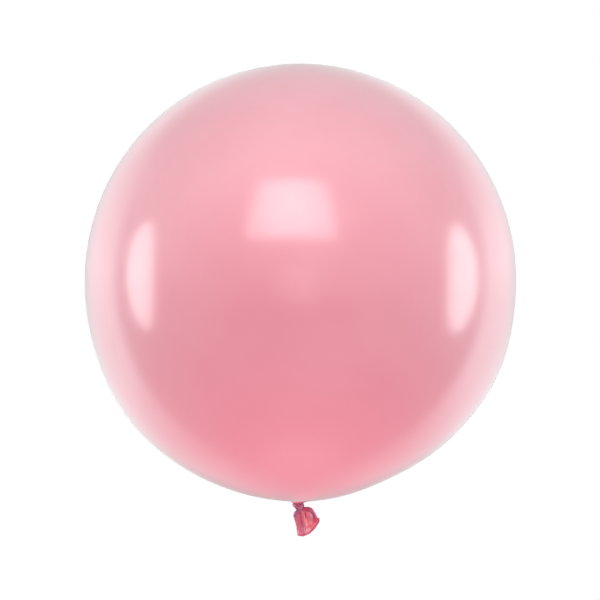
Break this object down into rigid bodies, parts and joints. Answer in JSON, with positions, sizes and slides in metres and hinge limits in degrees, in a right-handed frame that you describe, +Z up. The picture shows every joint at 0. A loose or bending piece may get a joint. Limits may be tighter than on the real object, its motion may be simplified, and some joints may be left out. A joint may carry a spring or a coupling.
{
  "type": "latex balloon",
  "caption": "Round inflated latex party balloon, closed by a knot under a near-spherical envelope, with a flattened tail and a rolled rim hanging from the knot.",
  "frame": {"origin": "on the balloon's vertical axis, where the gathered skin enters the knot: the place a ribbon, weight or stick cup is tied to", "axes": "+Z up from the neck through the crown, +X the way the tail leans, -Y towards the viewer of the balloon's front"},
  "size_m": [0.5998, 0.5998, 0.6579],
  "materials": {
    "stretched_latex": "smooth glossy stretched latex, slightly translucent pastel pink",
    "relaxed_latex": "unstretched latex of the same colour, deeper and less translucent, satin"
  },
  "bodies": {
    "envelope": {"envelope": "stretched_latex"},
    "neck": {"neck_gather": "stretched_latex"},
    "knot": {"throat": "relaxed_latex", "knot_core": "relaxed_latex", "knot_loop": "relaxed_latex"},
    "stem": {"tail_stem": "relaxed_latex"},
    "tail": {"tail_skirt": "relaxed_latex", "rolled_rim": "relaxed_latex"}
  },
  "joints": [
    {"name": "neck_sway", "type": "hinge", "parent": "envelope", "child": "neck", "pos_m": [0, 0, 0], "axis": [0, -1, 0], "range_deg": [-20, 20], "stiffness_Nm_per_rad": 0.01},
    {"name": "neck_nod", "type": "hinge", "parent": "neck", "child": "knot", "pos_m": [0, 0, 0], "axis": [1, 0, 0], "range_deg": [-20, 20], "stiffness_Nm_per_rad": 0.01},
    {"name": "tail_flop", "type": "hinge", "parent": "knot", "child": "stem", "pos_m": [0.0003, 0, -0.0099], "axis": [0, -1, 0], "range_deg": [-60, 15], "stiffness_Nm_per_rad": 0.004},
    {"name": "tail_twist", "type": "hinge", "parent": "stem", "child": "tail", "pos_m": [0.0003, 0, -0.0099], "axis": [-0.454, 0, 0.891], "range_deg": [-90, 90], "stiffness_Nm_per_rad": 0.002}
  ]
}
